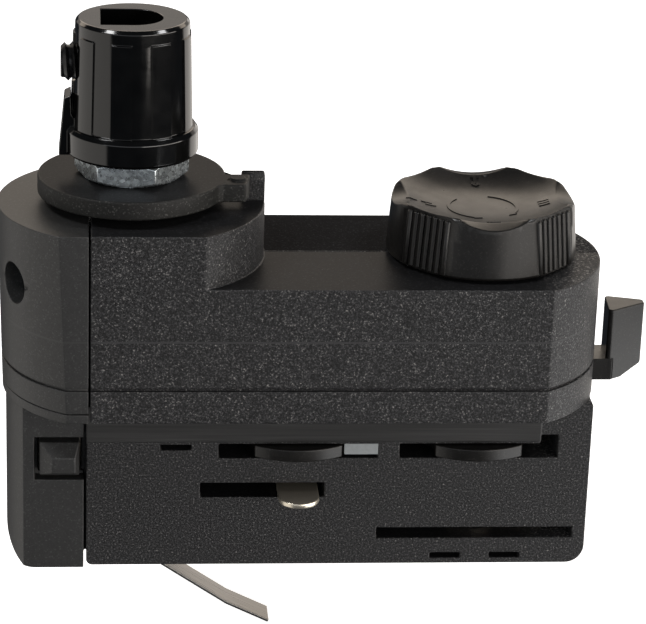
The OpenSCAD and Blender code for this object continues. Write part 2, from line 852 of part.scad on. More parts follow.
// Selector knob: four ribbed flats on the diagonals, and a rim that dips between them
module selector_knob() {
    dish_steps = 10;
    knob_top_r = knob_r - knob_draft;
    dip_r = 13.5;
    dip_x = knob_top_r - 0.6;
    rib_step = 1.22;
    color(smooth_black) translate([lever_x, 0, 0]) difference() {
        union() {
            difference() {
                rotate_extrude() polygon(concat([[0, knob_z], [knob_r - 0.4, knob_z], [knob_r, knob_z + 0.4],
                                                 [knob_top_r, knob_top - 0.5]],
                                                [for (i = [dish_steps : -1 : 0])
                                                    let (r = rim_r * i / dish_steps) [r, dish_z(r)]]));
                for (turn = [45 : 90 : 315])
                    rotate([0, 0, turn]) translate([flat_r, -far / 2, knob_top]) rotate([0, -flat_tilt, 0])
                        translate([0, 0, -far / 2]) cube(far);
            }
            for (turn = [45 : 90 : 315]) for (i = [0 : flat_ribs - 1])
                rotate([0, 0, turn]) translate([flat_r, (i - (flat_ribs - 1) / 2) * rib_step, knob_top])
                    rotate([0, -flat_tilt, 0]) translate([0, 0, 0.3 - knob_h])
                        cylinder(r = flat_rib_r, h = knob_h - 1, $fn = 24);
        }
        for (side = [0 : 90 : 270])
            rotate([0, 0, side]) translate([dip_x, 0, knob_top - rim_dip]) rotate([0, 90 + dip_slope, 0])
                translate([-dip_r, 0, -dip_x]) cylinder(r = dip_r, h = far);
        bar(0, shaft_d / 2, 0, knob_bore_top);
    }
}

// Shaft that carries the circuit contacts
module selector_shaft() {
    color(smooth_black) bar(lever_x, shaft_d / 2, selector_bottom, knob_bore_top);
}

// A contact tongue that points along +X from its axis
module tongue(reach, bore_d) {
    linear_extrude(tongue_t, center = true) difference() {
        union() {
            circle(r = bore_d / 2 + contact_ring_w);
            translate([0, -tongue_w / 2]) square([reach - tongue_w / 2, tongue_w]);
            translate([reach - tongue_w / 2, 0]) circle(d = tongue_w);
        }
        circle(d = bore_d);
    }
}

// Lower circuit contact, folded away inside the insert at rest
module phase_contact_low() {
    color(tin) translate([lever_x, 0, -low_slot_drop]) tongue(contact_reach, shaft_d);
}

// Upper circuit contact, standing out at the back at rest
module phase_contact_mid() {
    color(tin) translate([lever_x, 0, -mid_slot_drop]) rotate([0, 0, 90]) tongue(contact_reach, shaft_d);
}

// Half the angle of a tooth at a radius, from the involute of the base circle
function involute_angle(a) = tan(a) * 180 / PI - a;
function tooth_half_angle(r) =
    let (base_r = pitch_r * cos(pressure_angle),
         at_pitch = (PI * wheel_module / 2 - tooth_slack) / (2 * pitch_r) * 180 / PI)
    at_pitch + involute_angle(pressure_angle) - (r > base_r ? involute_angle(acos(base_r / r)) : 0);

// A toothed wheel with teeth only from one angle to another
module wheel(first, last) {
    steps = 6;
    radii = [for (i = [0 : steps]) tooth_root_r - 0.3 + (tooth_tip_r - tooth_root_r + 0.3) * i / steps];
    outline = concat([for (r = radii) r * [cos(tooth_half_angle(r)), -sin(tooth_half_angle(r))]],
                     [for (i = [steps : -1 : 0]) radii[i] * [cos(tooth_half_angle(radii[i])),
                                                             sin(tooth_half_angle(radii[i]))]]);
    circle(r = tooth_root_r);
    for (a = [first : tooth_pitch : last]) rotate(a) polygon(outline);
}

// Locking lever: finger tab, arm, toothed wheel and hollow hub
module locking_lever() {
    finger_low = wheel_z;
    color(smooth_black) translate([lever_x, 0, 0]) difference() {
        union() {
            translate([0, 0, wheel_z]) linear_extrude(wheel_t) {
                wheel(180 - 6 * tooth_pitch, 180 + 2 * tooth_pitch);
                translate([0, -arm_w / 2]) square([finger_r + 1.5, arm_w]);
            }
            bar(0, hub_d / 2, cam_bottom, wheel_z + wheel_t);
            difference() {
                translate([0, 0, finger_low]) linear_extrude(finger_h) hull() {
                    translate([finger_r + 0.9, -2.4]) circle(r = 0.6, $fn = 24);
                    translate([finger_r + 1.2, 3.0]) circle(r = 0.6, $fn = 24);
                    translate([finger_r + finger_reach - 0.6, 1.6]) circle(r = 0.6, $fn = 24);
                    translate([finger_r + finger_reach - 0.6, 0.8]) circle(r = 0.6, $fn = 24);
                }
                translate([finger_r + 3, -far / 2, finger_low]) rotate([0, -25, 0]) translate([0, 0, -far])
                    cube(far);
            }
        }
        bar(0, shaft_d / 2 + run, -far, far);
    }
}

// A lock cam: a disc that stays inside the insert, with two tips that reach into the track when locked
module lock_cam(x, bore_d) {
    translate([x, 0, cam_bottom]) linear_extrude(cam_t) difference() {
        union() {
            circle(r = cam_body_r);
            intersection() {
                circle(r = cam_r);
                square([cam_flats, far], center = true);
            }
        }
        circle(d = bore_d);
    }
}

module lever_lock_cam() {
    color(smooth_black) lock_cam(lever_x, hub_d);
}

module neutral_lock_cam() {
    color(smooth_black) lock_cam(neutral_x, rotor_d);
}

// Neutral rotor: toothed wheel, hub and shaft
module neutral_rotor() {
    color(smooth_black) translate([neutral_x, 0, 0]) union() {
        translate([0, 0, wheel_z]) linear_extrude(wheel_t) wheel(-1.5 * tooth_pitch, 6.5 * tooth_pitch);
        bar(0, rotor_hub_d / 2, cam_top, wheel_z + wheel_t);
        bar(0, rotor_d / 2, rotor_bottom, cam_top);
    }
}

// Neutral contact, standing out at the front at rest
module neutral_contact() {
    color(tin) translate([neutral_x, 0, -mid_slot_drop]) rotate([0, 0, -90]) tongue(neutral_reach, rotor_d);
}

// Earth spring: a rolled root, a straight leaf and a flatter tip
function earth_step(a, length) = length * [cos(a), -sin(a)];
module earth_spring() {
    bend = earth_root + earth_step(earth_angle, earth_leaf);
    tip = bend + earth_step(earth_tip_angle, earth_tip);
    leaf_up = earth_t / 2 * [sin(earth_angle), cos(earth_angle)];
    tip_up = earth_t / 2 * [sin(earth_tip_angle), cos(earth_tip_angle)];
    color(steel) union() {
        translate([earth_root[0], 0, earth_root[1]]) rotate([90, 0, 0])
            cylinder(r = earth_roll_r, h = earth_w, center = true, $fn = 24);
        across(earth_w) polygon([earth_root + leaf_up, bend + leaf_up, tip + tip_up,
                                 tip - tip_up, bend - leaf_up, earth_root - leaf_up]);
    }
}

housing_front();
housing_back();
end_cover();
end_block();
cover_screw();
terminal_block();
terminal_screws();
wear_plate();
latch_wedge_front();
latch_wedge_back();
latch_spring();
swivel_disc();
swivel_nipple();
swivel_nut();
nipple_locknut();
spring_washer();
cord_grip();
clamp_screw();
selector_knob();
selector_shaft();
phase_contact_low();
phase_contact_mid();
locking_lever();
lever_lock_cam();
neutral_rotor();
neutral_lock_cam();
neutral_contact();
earth_spring();
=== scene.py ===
"""Track light adapter: its finishes, soft moulded edges, screw thread and dial marks, in a white studio."""

import json
import math

import bmesh
import bpy
from mathutils import Matrix, Vector


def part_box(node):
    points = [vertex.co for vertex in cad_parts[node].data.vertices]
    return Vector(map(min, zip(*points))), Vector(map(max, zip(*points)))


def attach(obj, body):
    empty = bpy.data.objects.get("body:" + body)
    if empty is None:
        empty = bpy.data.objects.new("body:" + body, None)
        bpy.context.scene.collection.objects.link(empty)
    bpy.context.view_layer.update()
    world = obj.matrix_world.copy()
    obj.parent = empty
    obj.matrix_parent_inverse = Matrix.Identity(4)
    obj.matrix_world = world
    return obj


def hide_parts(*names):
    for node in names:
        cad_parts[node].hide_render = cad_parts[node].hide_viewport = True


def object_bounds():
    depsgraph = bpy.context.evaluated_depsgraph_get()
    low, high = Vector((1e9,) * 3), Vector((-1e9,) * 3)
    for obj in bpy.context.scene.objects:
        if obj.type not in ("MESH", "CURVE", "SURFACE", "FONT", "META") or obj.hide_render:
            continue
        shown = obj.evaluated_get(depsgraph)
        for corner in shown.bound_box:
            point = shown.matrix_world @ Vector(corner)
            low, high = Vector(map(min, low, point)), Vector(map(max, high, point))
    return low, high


bl_info = {
    "name": "Track Light Adapter",
    "version": (1, 0, 0),
    "blender": (4, 5, 0),
    "location": "View3D > Sidebar > Adapter",
    "description": "Dresses the packed track light adapter with finishes, soft edges and fine detail",
    "category": "Object",
}

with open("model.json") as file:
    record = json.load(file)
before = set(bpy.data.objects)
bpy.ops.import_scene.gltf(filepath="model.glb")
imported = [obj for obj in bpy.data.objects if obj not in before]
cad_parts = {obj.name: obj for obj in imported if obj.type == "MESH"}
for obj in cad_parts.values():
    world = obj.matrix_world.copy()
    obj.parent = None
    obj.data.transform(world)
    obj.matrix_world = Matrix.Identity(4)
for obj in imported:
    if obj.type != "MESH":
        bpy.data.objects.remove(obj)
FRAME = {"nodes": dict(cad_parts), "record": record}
NODES = FRAME["nodes"]
RECORD = FRAME["record"]
CAD_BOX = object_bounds()
BODY_OF = {node: body for body, nodes in RECORD["behaviour"]["bodies"].items() for node in nodes}
SLOT_OF = {part["node"]: part["material_slot"] for part in RECORD["subparts"]}

MM = 0.001
MERGE = 0.001 * MM

# Width of the photograph in pixels, and of the camera's sensor
PHOTO_WIDTH = 646
SENSOR_MM = 36.0


def linear(code):
    """An sRGB hex colour as linear red, green and blue."""
    parts = [int(code[i:i + 2], 16) / 255 for i in (0, 2, 4)]
    return tuple(p / 12.92 if p <= 0.04045 else ((p + 0.055) / 1.055) ** 2.4 for p in parts)


def rgba(colour):
    """A colour with full alpha."""
    return (*colour, 1.0)


WHITE = rgba((1.0, 1.0, 1.0))


def tinted(colour, factor):
    """A colour made darker or paler by a factor."""
    return tuple(factor * part for part in colour)


def shade_stops(colour, *steps):
    """Stops of a colour ramp: at each position, the colour made darker or paler by a factor."""
    return [(position, rgba(tinted(colour, factor))) for position, factor in steps]


def per_metre(size_mm):
    """The texture scale whose cells measure that many millimetres."""
    return 1 / (size_mm * MM)


class AdapterEdges(bpy.types.PropertyGroup):
    """Radii of the soft edges that moulding and pressing leave."""

    shell: bpy.props.FloatProperty(
        name="Shell edge", description="Edge radius of the housing halves",
        default=0.22 * MM, precision=5, unit="LENGTH")
    cover: bpy.props.FloatProperty(
        name="Cover edge", description="Edge radius of the end cover and the end block",
        default=0.15 * MM, precision=5, unit="LENGTH")
    wedge: bpy.props.FloatProperty(
        name="Wedge edge", description="Edge radius of the latch wedges",
        default=0.18 * MM, precision=5, unit="LENGTH")
    disc: bpy.props.FloatProperty(
        name="Disc edge", description="Edge radius of the swivel disc",
        default=0.3 * MM, precision=5, unit="LENGTH")
    grip: bpy.props.FloatProperty(
        name="Grip edge", description="Edge chamfer of the cord grip and its panels",
        default=0.12 * MM, precision=5, unit="LENGTH")
    knob: bpy.props.FloatProperty(
        name="Knob edge", description="Edge radius of the selector knob",
        default=0.2 * MM, precision=5, unit="LENGTH")
    lever: bpy.props.FloatProperty(
        name="Lever edge", description="Edge radius of the locking lever and the lock cams",
        default=0.25 * MM, precision=5, unit="LENGTH")
    nut: bpy.props.FloatProperty(
        name="Nut edge", description="Edge radius of the hexagon nut",
        default=0.18 * MM, precision=5, unit="LENGTH")
    strip: bpy.props.FloatProperty(
        name="Strip edge", description="Edge radius of the stamped contacts and the earth spring",
        default=0.12 * MM, precision=5, unit="LENGTH")


class AdapterThread(bpy.types.PropertyGroup):
    """Sizes of the clamp screw."""

    pitch: bpy.props.FloatProperty(
        name="Pitch", description="Distance from one thread ridge to the next",
        default=1.28 * MM, precision=5, unit="LENGTH")
    depth: bpy.props.FloatProperty(
        name="Depth", description="Height of the thread ridge",
        default=0.5 * MM, precision=5, unit="LENGTH")
    socket: bpy.props.FloatProperty(
        name="Socket", description="Distance across the flats of the hexagon socket",
        default=3.0 * MM, precision=5, unit="LENGTH")


class AdapterMarks(bpy.types.PropertyGroup):
    """Sizes of the raised marks in the knob's dish."""

    width: bpy.props.FloatProperty(
        name="Stroke", description="Width of a mark's strokes",
        default=0.5 * MM, precision=5, unit="LENGTH")
    height: bpy.props.FloatProperty(
        name="Height", description="How far the marks stand out of the dish",
        default=0.14 * MM, precision=5, unit="LENGTH")
    length: bpy.props.FloatProperty(
        name="Length", description="Length of the bars that count the circuits",
        default=1.7 * MM, precision=5, unit="LENGTH")
    ring: bpy.props.FloatProperty(
        name="Ring", description="Radius of the turning arrows",
        default=5.4 * MM, precision=5, unit="LENGTH")


class AdapterColours(bpy.types.PropertyGroup):
    """Colours of the finishes."""

    grain: bpy.props.FloatVectorProperty(
        name="Grain", description="Grained polycarbonate of the housing halves",
        default=linear("2a2a2b"), subtype="COLOR")
    # The pale specks are painted glints, where the grain would catch the light
    speck: bpy.props.FloatVectorProperty(
        name="Speck", description="Pale specks of the grain",
        default=linear("8a8784"), subtype="COLOR")
    deck: bpy.props.FloatVectorProperty(
        name="Deck", description="Polished upward faces of the housing and the swivel disc",
        default=linear("1c1c1d"), subtype="COLOR")
    matt: bpy.props.FloatVectorProperty(
        name="Matt", description="Matt polycarbonate of the end pieces and the guide rib",
        default=linear("272727"), subtype="COLOR")
    disc: bpy.props.FloatVectorProperty(
        name="Disc", description="Fine polycarbonate of the swivel disc",
        default=linear("191918"), subtype="COLOR")
    gloss: bpy.props.FloatVectorProperty(
        name="Gloss", description="Glossy polyamide of the cord grip",
        default=linear("060606"), subtype="COLOR")
    satin: bpy.props.FloatVectorProperty(
        name="Satin", description="Satin polyamide of the knob and the lever",
        default=linear("151413"), subtype="COLOR")
    oxide: bpy.props.FloatVectorProperty(
        name="Black oxide", description="Blackened steel of the clamp screw",
        default=linear("1c1c1d"), subtype="COLOR")
    zinc: bpy.props.FloatVectorProperty(
        name="Zinc", description="Zinc plated steel of the nuts and screws",
        default=linear("cad2d6"), subtype="COLOR")
    strip: bpy.props.FloatVectorProperty(
        name="Spring strip", description="Rolled stainless strip of the springs",
        default=linear("908d89"), subtype="COLOR")
    plate: bpy.props.FloatVectorProperty(
        name="Plate", description="Pale sheet of the wear plate",
        default=linear("8e9294"), subtype="COLOR")
    tin: bpy.props.FloatVectorProperty(
        name="Tin", description="Tinned brass of the contacts",
        default=linear("b4aa9a"), subtype="COLOR")
    terminal: bpy.props.FloatVectorProperty(
        name="Terminal", description="Natural polyamide of the wire terminals",
        default=linear("cfcdc2"), subtype="COLOR")


class AdapterStage(bpy.types.PropertyGroup):
    """Camera and lights of the studio."""

    azimuth: bpy.props.FloatProperty(
        name="Azimuth", description="Turn of the camera round the object",
        default=math.radians(-5.15), subtype="ANGLE")
    elevation: bpy.props.FloatProperty(
        name="Elevation", description="Angle of the camera above the horizon",
        default=math.radians(21.06), subtype="ANGLE")
    roll: bpy.props.FloatProperty(
        name="Roll", description="Turn of the camera about its line of sight",
        default=math.radians(1.96), subtype="ANGLE")
    distance: bpy.props.FloatProperty(
        name="Distance", description="Distance of the camera from its target",
        default=450 * MM, unit="LENGTH")
    target: bpy.props.FloatVectorProperty(
        name="Target", description="Point at the middle of the picture",
        default=(30.43 * MM, 0.0, 11.75 * MM), subtype="TRANSLATION")
    focal_px: bpy.props.FloatProperty(
        name="Focal length", description="Focal length of the photograph in pixels", default=2841.57)


def choose(*pieces):
    """Selects only these pieces and makes the first one active."""
    bpy.ops.object.select_all(action="DESELECT")
    for piece in pieces:
        piece.select_set(True)
    bpy.context.view_layer.objects.active = pieces[0]


def edit(piece):
    """Opens a piece in edit mode with all of it selected."""
    choose(piece)
    bpy.ops.object.mode_set(mode="EDIT")
    bpy.ops.mesh.select_all(action="SELECT")


def close_edit():
    """Leaves edit mode."""
    bpy.ops.object.mode_set(mode="OBJECT")


def apply_modifier(piece, kind, **settings):
    """Adds a modifier with its settings and applies it."""
    choose(piece)
    bpy.ops.object.modifier_add(type=kind)
    modifier = piece.modifiers[-1]
    for key, value in settings.items():
        setattr(modifier, key, value)
    bpy.ops.object.modifier_apply(modifier=modifier.name)


def settle(piece):
    """Moves a piece's place into its mesh, so that its object sits at the origin."""
    choose(piece)
    bpy.ops.object.transform_apply(location=True, rotation=True, scale=True)


def added(operator, **settings):
    """The object that an operator for a primitive adds."""
    operator(**settings)
    return bpy.context.active_object


def smooth(piece):
    """Shades a piece smooth and lets its large faces set the normals of its rounded edges."""
    choose(piece)
    bpy.ops.object.shade_smooth()
    apply_modifier(piece, "WEIGHTED_NORMAL", mode="FACE_AREA", weight=80, keep_sharp=True)


def shade_as(piece, solid):
    """Shades a piece smooth with the solid's own normals, so that only its rounded edges blend."""
    choose(piece)
    bpy.ops.object.shade_smooth()
    apply_modifier(piece, "DATA_TRANSFER", object=solid, use_loop_data=True,
                   data_types_loops={"CUSTOM_NORMAL"}, loop_mapping="POLYINTERP_NEAREST")


def add_node(tree, kind, settings=None, links=None):
    """Adds a shader node, sets its properties and sockets, and links sockets to other nodes' outputs."""
    node = tree.nodes.new(kind)
    for key, value in (settings or {}).items():
        if key == "stops":
            ramp = node.color_ramp
            while len(ramp.elements) < len(value):
                ramp.elements.new(1.0)
            for element, (position, colour) in zip(ramp.elements, value):
                element.position = position
                element.color = colour
        elif isinstance(key, int) or key in node.inputs:
            node.inputs[key].default_value = value
        else:
            setattr(node, key, value)
    for key, (source, output) in (links or {}).items():
        tree.links.new(source.outputs[output], node.inputs[key])
    return node


def socket_name(key):
    """A socket's name in the shader, from a keyword such as specular_ior_level."""
    return key.replace("_", " ").title().replace("Ior", "IOR")


def new_material(name, **sockets):
    """A material with one shader and object coordinates: (material, node tree, shader, coordinates)."""
    material = bpy.data.materials.new(name)
    material.use_nodes = True
    tree = material.node_tree
    tree.nodes.clear()
    settings = {socket_name(key): value for key, value in sockets.items()}
    shader = add_node(tree, "ShaderNodeBsdfPrincipled", settings)
    add_node(tree, "ShaderNodeOutputMaterial", links={"Surface": (shader, "BSDF")})
    place = add_node(tree, "ShaderNodeTexCoord")
    return material, tree, shader, place


def connect(tree, shader, **sources):
    """Links named sockets of the shader to (node, output) pairs."""
    for key, (node, output) in sources.items():
        tree.links.new(node.outputs[output], shader.inputs[socket_name(key)])


# The mould's seam round the housing and its cover, drawn as a pale line: a painted highlight where the draft
# changes
SEAM_Z_MM = 13.45
SEAM_HALF_MM = 0.16


def seam_line(tree, place, ramp, highlight_colour):
    """Draws a pale line along the mould's seam over a ramp's colour, as a painted highlight, and gives the
    node that holds the result.
    """
    axes = add_node(tree, "ShaderNodeSeparateXYZ", links={0: (place, "Object")})
    on_line = add_node(tree, "ShaderNodeMath", {"operation": "COMPARE", 1: SEAM_Z_MM * MM,
                                                2: SEAM_HALF_MM * MM}, {0: (axes, "Z")})
    return add_node(tree, "ShaderNodeMix", {"data_type": "RGBA", 7: rgba(highlight_colour)},
                    {0: (on_line, 0), 6: (ramp, "Color")})


def random_cells(tree, place, cell_mm):
    """Random cells of that size, with their chances as three channels."""
    cells = add_node(tree, "ShaderNodeTexVoronoi", {"Scale": per_metre(cell_mm)},
                     {"Vector": (place, "Object")})
    return add_node(tree, "ShaderNodeSeparateColor", links={0: (cells, "Color")})


# Speckled cells, whose pale specks are painted glints: the tint of the dullest, how far the warm ones lean to
# the speck's colour, and the share of all cells that warm up, as a multiple of the specks' share
DULLEST = 0.72
WARMTH = 0.16
WARM_SHARES = 3


def speckled(tree, place, base, speck, cell_mm, share):
    """A colour ramp over random cells, of which a share turn to pale specks: painted glints of the grain.

    The cells are coarser than a mould's real grain, so that they show.
    """
    warm = tuple(b + WARMTH * (s - b) for b, s in zip(base, speck))
    stops = shade_stops(base, (0.0, DULLEST), (1 - WARM_SHARES * share, 1.0))
    stops += [(1 - share, rgba(warm)), (1.0, rgba(speck))]
    return add_node(tree, "ShaderNodeValToRGB", {"stops": stops},
                    {"Fac": (random_cells(tree, place, cell_mm), 0)})


def clouded(tree, shader, source, size_mm, detail, stops, roughness=None):
    """Lets soft clouds set a shader's colour, and its roughness where a range is given. Gives the clouds."""
    cloud = add_node(tree, "ShaderNodeTexNoise", {"Scale": per_metre(size_mm), "Detail": detail},
                     {"Vector": source})
    colour = add_node(tree, "ShaderNodeValToRGB", {"stops": stops}, {"Fac": (cloud, 0)})
    connect(tree, shader, base_color=(colour, "Color"))
    if roughness:
        least, most = roughness
        haze = add_node(tree, "ShaderNodeMapRange", {"To Min": least, "To Max": most}, {"Value": (cloud, 0)})
        connect(tree, shader, roughness=(haze, 0))
    return cloud


def fine_bump(tree, source, grain_mm, depth_mm, strength):
    """A bump node over fine noise."""
    noise = add_node(tree, "ShaderNodeTexNoise", {"Scale": per_metre(grain_mm), "Detail": 2.0},
                     {"Vector": source})
    return add_node(tree, "ShaderNodeBump", {"Strength": strength, "Distance": depth_mm * MM},
                    {"Height": (noise, 0)})


def grained_polycarbonate():
    """Polycarbonate from a spark-eroded mould: dry and dark, with pale mottling and specks painted in as the
    grain's glints.

    The grain is drawn coarser than the mould's, so that it shows.
    """
    colours = bpy.context.scene.adapter_colours
    material, tree, shader, place = new_material("grained_polycarbonate", roughness=0.5, ior=1.58,
                                                 specular_ior_level=0.18)
    grit = add_node(tree, "ShaderNodeTexNoise", {"Scale": per_metre(0.3), "Detail": 3.0, "Roughness": 0.7},
                    {"Vector": (place, "Object")})
    # The pale end of the mottle and the specks are painted glints of the grain
    stops = shade_stops(colours.grain, (0.3, 0.15), (0.5, 0.75), (0.62, 2.2)) + [(0.72, rgba(colours.speck))]
    grain_and_glints = add_node(tree, "ShaderNodeValToRGB", {"stops": stops}, {"Fac": (grit, 0)})
    # A pale line along the seam: a painted highlight where the draft changes
    line = seam_line(tree, place, grain_and_glints, tinted(colours.grain, 1.5))
    bump = add_node(tree, "ShaderNodeBump", {"Strength": 0.8, "Distance": 0.08 * MM}, {"Height": (grit, 0)})
    connect(tree, shader, base_color=(line, 2), normal=(bump, "Normal"))
    return material


# Where along the deck the painted reflection, a paler and coarser grain, starts and where it is full
PAINTED_REFLECTION_START_MM = 62.0
PAINTED_REFLECTION_FULL_MM = 70.0


def deck_finish(name, sheen):
    """Polycarbonate from a polished face of the mould: near black, with a weak sheen and faint pale specks
    painted in as glints.

    Towards the round end the colour turns to a paler, coarser grain: a painted reflection of the light
    behind.
    """
    colours = bpy.context.scene.adapter_colours
    material, tree, shader, place = new_material(name, roughness=0.38, ior=1.58, specular_ior_level=sheen)
    # Faint pale specks are painted glints; towards the round end a paler, coarser grain is a painted
    # reflection of the light behind
    faint = speckled(tree, place, colours.deck, tinted(colours.deck, 2.5), cell_mm=0.2, share=0.1)
    painted_reflection = speckled(tree, place, tinted(colours.grain, 1.6), colours.speck, cell_mm=0.25, share=0.2)
    axes = add_node(tree, "ShaderNodeSeparateXYZ", links={0: (place, "Object")})
    end = add_node(tree, "ShaderNodeMapRange",
                   {"From Min": PAINTED_REFLECTION_START_MM * MM, "From Max": PAINTED_REFLECTION_FULL_MM * MM}, {"Value": (axes, "X")})
    mixed = add_node(tree, "ShaderNodeMix", {"data_type": "RGBA"},
                     {0: (end, 0), 6: (faint, "Color"), 7: (painted_reflection, "Color")})
    bump = fine_bump(tree, (place, "Object"), grain_mm=0.25, depth_mm=0.015, strength=0.3)
    connect(tree, shader, base_color=(mixed, 2), normal=(bump, "Normal"))
    return material


def polished_polycarbonate():
    """The upward faces of the front half and the swivel disc, which keep a soft grey sheen."""
    return deck_finish("polished_polycarbonate", 0.03)


def shaded_polycarbonate():
    """The upward faces of the back half: a shaded copy of the deck's finish, whose sheen is nearly all taken
    away as painted shade.
    """
    return deck_finish("shaded_polycarbonate", 0.002)


def matt_polycarbonate():
    """Polycarbonate from a plainly milled mould: smooth and matt, with faint upright tool lines."""
    colours = bpy.context.scene.adapter_colours
    material, tree, shader, place = new_material("matt_polycarbonate", roughness=0.48, ior=1.58,
                                                 specular_ior_level=0.35)
    # Pale specks: painted glints of the grain
    specks = speckled(tree, place, colours.matt, tinted(colours.matt, 2.2), cell_mm=0.2, share=0.1)
    # A pale line along the seam: a painted highlight where the draft changes
    line = seam_line(tree, place, specks, tinted(colours.matt, 1.35))
    tall = add_node(tree, "ShaderNodeMapping", {"Scale": (1.0, 1.0, 0.04)}, {"Vector": (place, "Object")})
    bump = fine_bump(tree, (tall, "Vector"), grain_mm=0.3, depth_mm=0.01, strength=0.25)
    connect(tree, shader, base_color=(line, 2), normal=(bump, "Normal"))
    return material


def brushed_polycarbonate():
    """The guide rib, whose mould was planed lengthwise: matt with fine level lines."""
    colours = bpy.context.scene.adapter_colours
    material, tree, shader, place = new_material("brushed_polycarbonate", roughness=0.5, ior=1.58,
                                                 specular_ior_level=0.3)
    long = add_node(tree, "ShaderNodeMapping", {"Scale": (0.02, 0.02, 1.0)}, {"Vector": (place, "Object")})
    lines = clouded(tree, shader, (long, "Vector"), size_mm=0.35, detail=3.0,
                    stops=shade_stops(colours.matt, (0.3, 0.6), (0.55, 1.0), (0.75, 1.5)))
    bump = add_node(tree, "ShaderNodeBump", {"Strength": 0.3, "Distance": 0.02 * MM}, {"Height": (lines, 0)})
    connect(tree, shader, normal=(bump, "Normal"))
    return material


def fine_polycarbonate():
    """Polycarbonate with a fine even grain: the swivel disc's rim, dark with pale specks painted in as the
    grain's glints.
    """
    colours = bpy.context.scene.adapter_colours
    material, tree, shader, place = new_material("fine_polycarbonate", roughness=0.55, ior=1.58,
                                                 specular_ior_level=0.18)
    specks = speckled(tree, place, colours.disc, tinted(colours.disc, 5), cell_mm=0.2, share=0.1)
    bump = fine_bump(tree, (place, "Object"), grain_mm=0.18, depth_mm=0.02, strength=0.4)
    connect(tree, shader, base_color=(specks, "Color"), normal=(bump, "Normal"))
    return material


def gloss_polyamide():
    """Glass-filled polyamide from a polished mould: deep black and glossy, with a slight ripple."""
    colours = bpy.context.scene.adapter_colours
    material, tree, shader, place = new_material("gloss_polyamide", roughness=0.1, ior=1.53,
                                                 specular_ior_level=0.5)
    clouded(tree, shader, (place, "Object"), size_mm=2.5, detail=3.0,
            stops=shade_stops(colours.gloss, (0.3, 0.8), (0.7, 1.4)), roughness=(0.06, 0.14))
    bump = fine_bump(tree, (place, "Object"), grain_mm=0.8, depth_mm=0.012, strength=0.25)
    connect(tree, shader, normal=(bump, "Normal"))
    return material


def satin_polyamide():
    """Polyamide from a sanded mould: black with a warm satin sheen and fine rubbing marks."""
    colours = bpy.context.scene.adapter_colours
    material, tree, shader, place = new_material("satin_polyamide", roughness=0.36, ior=1.53,
                                                 specular_ior_level=0.32)
    # Pale specks: painted glints of the grain
    specks = speckled(tree, place, colours.satin, tinted(colours.satin, 2.6), cell_mm=0.18, share=0.1)
    rubbed = add_node(tree, "ShaderNodeTexNoise", {"Scale": per_metre(3.0), "Detail": 4.0},
                      {"Vector": (place, "Object")})
    sheen = add_node(tree, "ShaderNodeMapRange", {"To Min": 0.22, "To Max": 0.42}, {"Value": (rubbed, 0)})
    bump = fine_bump(tree, (place, "Object"), grain_mm=0.2, depth_mm=0.012, strength=0.4)
    connect(tree, shader, base_color=(specks, "Color"), roughness=(sheen, 0), normal=(bump, "Normal"))
    return material


def black_oxide():
    """Hardened steel blackened in a hot bath: dark, oily and half glossy."""
    colours = bpy.context.scene.adapter_colours
    material, tree, shader, place = new_material("black_oxide", metallic=0.6)
    clouded(tree, shader, (place, "Object"), size_mm=0.9, detail=4.0,
            stops=shade_stops(colours.oxide, (0.35, 0.7), (0.7, 1.5)), roughness=(0.2, 0.36))
    return material


def zinc_plate():
    """Bright zinc on steel: bluish grey crystals of uneven gloss, drawn coarser than real ones to show."""
    colours = bpy.context.scene.adapter_colours
    material, tree, shader, place = new_material("zinc_plate", metallic=0.9)
    chance = random_cells(tree, place, cell_mm=0.5)
    palest = tuple(min(1.0, part) for part in tinted(colours.zinc, 1.25))
    stops = shade_stops(colours.zinc, (0.0, 0.75), (0.7, 0.95)) + [(1.0, rgba(palest))]
    shades = add_node(tree, "ShaderNodeValToRGB", {"stops": stops}, {"Fac": (chance, 0)})
    gloss = add_node(tree, "ShaderNodeMapRange", {"To Min": 0.2, "To Max": 0.36}, {"Value": (chance, 1)})
    bump = fine_bump(tree, (place, "Object"), grain_mm=0.4, depth_mm=0.02, strength=0.2)
    connect(tree, shader, base_color=(shades, "Color"), roughness=(gloss, 0), normal=(bump, "Normal"))
    return material


def spring_strip():
    """Cold rolled stainless strip: warm grey with fine lines along the rolling direction."""
    colours = bpy.context.scene.adapter_colours
    material, tree, shader, place = new_material("spring_strip", metallic=1.0)
    rolled = add_node(tree, "ShaderNodeMapping", {"Scale": (0.03, 1.0, 0.03)}, {"Vector": (place, "Object")})
    clouded(tree, shader, (rolled, "Vector"), size_mm=0.25, detail=3.0,
            stops=shade_stops(colours.strip, (0.3, 0.8), (0.7, 1.0)), roughness=(0.22, 0.36))
    return material


def pale_sheet():
    """Thin galvanised sheet: even, pale and dull."""
    colours = bpy.context.scene.adapter_colours
    material, tree, shader, place = new_material("pale_sheet", metallic=0.3)
    clouded(tree, shader, (place, "Object"), size_mm=0.6, detail=2.0,
            stops=shade_stops(colours.plate, (0.3, 0.9), (0.7, 1.0)), roughness=(0.42, 0.58))
    return material


def tinned_brass():
    """Stamped brass with a thin tin coat: pale gold grey, brightest where the punch rounded its rim."""
    colours = bpy.context.scene.adapter_colours
    material, tree, shader, place = new_material("tinned_brass", metallic=1.0)
    clouded(tree, shader, (place, "Object"), size_mm=0.5, detail=3.0,
            stops=shade_stops(colours.tin, (0.3, 0.75), (0.7, 1.0)), roughness=(0.08, 0.18))
    return material


